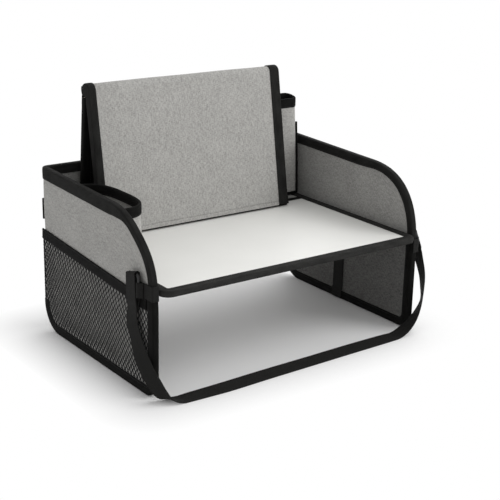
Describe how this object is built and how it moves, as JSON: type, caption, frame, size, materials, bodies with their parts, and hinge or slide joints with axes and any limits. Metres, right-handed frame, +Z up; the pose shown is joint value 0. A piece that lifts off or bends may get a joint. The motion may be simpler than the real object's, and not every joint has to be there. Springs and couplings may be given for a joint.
{
  "type": "car seat tray table",
  "caption": "Fabric-covered lap tray for a child seat with folding legs, raised walls, a tent-shaped tablet stand, pockets and a waist strap.",
  "frame": {"origin": "centre of the footprint of the whole object with its waist strap, on the floor", "axes": "+X to the right as seen by the child who sits at the tray, +Y away from the child towards the back wall, +Z up"},
  "size_m": [0.4308, 0.3002, 0.3217],
  "materials": {
    "grey_cloth": "woven heather grey polyester",
    "dark_grey_cloth": "woven heather grey polyester, shaded inner side",
    "black_cloth": "plain woven black polyester",
    "black_tape": "folded and stitched grosgrain binding",
    "black_webbing": "flat woven webbing",
    "mesh_net": "knitted net with diamond holes",
    "white_sheet": "smooth wipe-clean film",
    "stiffener_board": "plain stiffening board, hidden inside the cloth",
    "black_plastic": "moulded, slightly satin"
  },
  "bodies": {
    "tray": {"back_board": "stiffener_board", "bottle_pocket_base": "grey_cloth", "bottle_pocket_rim": "black_tape", "bottle_pocket_wall": "grey_cloth", "cross_tape": "black_tape", "cup_pocket_base": "grey_cloth", "cup_pocket_rim": "black_tape", "cup_pocket_wall": "grey_cloth", "deck_cloth": "grey_cloth", "left_strap_loop": "black_plastic", "left_strap_tab": "black_webbing", "left_wing_board": "stiffener_board", "pull_tab": "black_webbing", "right_strap_loop": "black_plastic", "right_strap_tab": "black_webbing", "right_wing_board": "stiffener_board", "rim_tape": "black_tape", "table_board": "stiffener_board", "table_edge_tape": "black_tape", "table_under_cloth": "dark_grey_cloth", "upper_inner_cloth": "dark_grey_cloth", "upper_outer_cloth": "grey_cloth", "waist_strap": "black_webbing", "writing_sheet": "white_sheet"},
    "left_leg": {"left_leg_board": "stiffener_board", "left_leg_inner_cloth": "dark_grey_cloth", "left_leg_outer_cloth": "grey_cloth", "left_leg_tape": "black_tape", "left_pocket_hem": "black_tape", "left_pocket_net": "mesh_net", "left_stay_strap": "black_webbing"},
    "right_leg": {"right_leg_board": "stiffener_board", "right_leg_inner_cloth": "dark_grey_cloth", "right_leg_outer_cloth": "grey_cloth", "right_leg_tape": "black_tape", "right_pocket_hem": "black_tape", "right_pocket_net": "mesh_net", "right_stay_strap": "black_webbing"},
    "stand_rear": {"stand_rear_board": "stiffener_board", "stand_rear_cloth": "black_cloth", "stand_rear_left_tape": "black_tape", "stand_rear_lining": "black_cloth", "stand_rear_right_tape": "black_tape"},
    "stand_front": {"stand_front_board": "stiffener_board", "stand_front_cloth": "grey_cloth", "stand_front_left_tape": "black_tape", "stand_front_lining": "dark_grey_cloth", "stand_front_right_tape": "black_tape"}
  },
  "joints": [
    {"name": "left_leg_fold", "type": "hinge", "parent": "tray", "child": "left_leg", "pos_m": [-0.19684, 0.01414, 0.1206], "axis": [0, -1, 0], "range_deg": [0, 88]},
    {"name": "right_leg_fold", "type": "hinge", "parent": "tray", "child": "right_leg", "pos_m": [0.19116, 0.01414, 0.1206], "axis": [0, 1, 0], "range_deg": [0, 88]},
    {"name": "stand_rear_tilt", "type": "hinge", "parent": "tray", "child": "stand_rear", "pos_m": [-0.00834, 0.13244, 0.1322], "axis": [1, 0, 0], "range_deg": [0, 35]},
    {"name": "stand_front_open", "type": "hinge", "parent": "stand_rear", "child": "stand_front", "pos_m": [-0.00834, 0.11564, 0.3125], "axis": [-1, 0, 0], "range_deg": [0, 66.86]}
  ],
  "couplings": [
    {"joint": "stand_front_open", "follows": "stand_rear_tilt", "ratio": 1.91}
  ]
}
